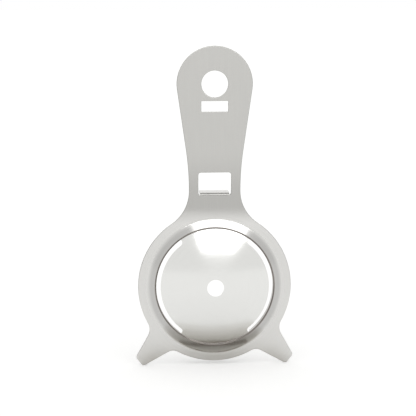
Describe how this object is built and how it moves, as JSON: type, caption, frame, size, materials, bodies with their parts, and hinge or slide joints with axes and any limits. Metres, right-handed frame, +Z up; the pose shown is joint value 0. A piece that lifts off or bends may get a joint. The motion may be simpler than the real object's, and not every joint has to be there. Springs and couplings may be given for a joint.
{
  "type": "hawthorne strainer",
  "caption": "Bar strainer pressed from one steel sheet: domed disc with a drain hole and curved slits, rest prongs, a bent rim tab, a flat handle with a hang hole, and a removable coil spring.",
  "frame": {"origin": "centre of the hang hole in the handle, at the middle of the sheet", "axes": "+Z up the handle, away from the disc; +X across the plate; the domed front faces -Y, and the spring and the rim tab stand out towards +Y"},
  "size_m": [0.0786, 0.0137, 0.1597],
  "materials": {
    "plate_steel": "satin brushed stainless steel",
    "spring_steel": "bright drawn stainless wire"
  },
  "bodies": {
    "plate": {"strainer_plate": "plate_steel"},
    "spring": {"coil_spring": "spring_steel"}
  },
  "joints": [
    {"name": "spring_removal", "type": "slide", "parent": "plate", "child": "spring", "axis": [0, 1, 0], "range_m": [0, 0.02]}
  ]
}
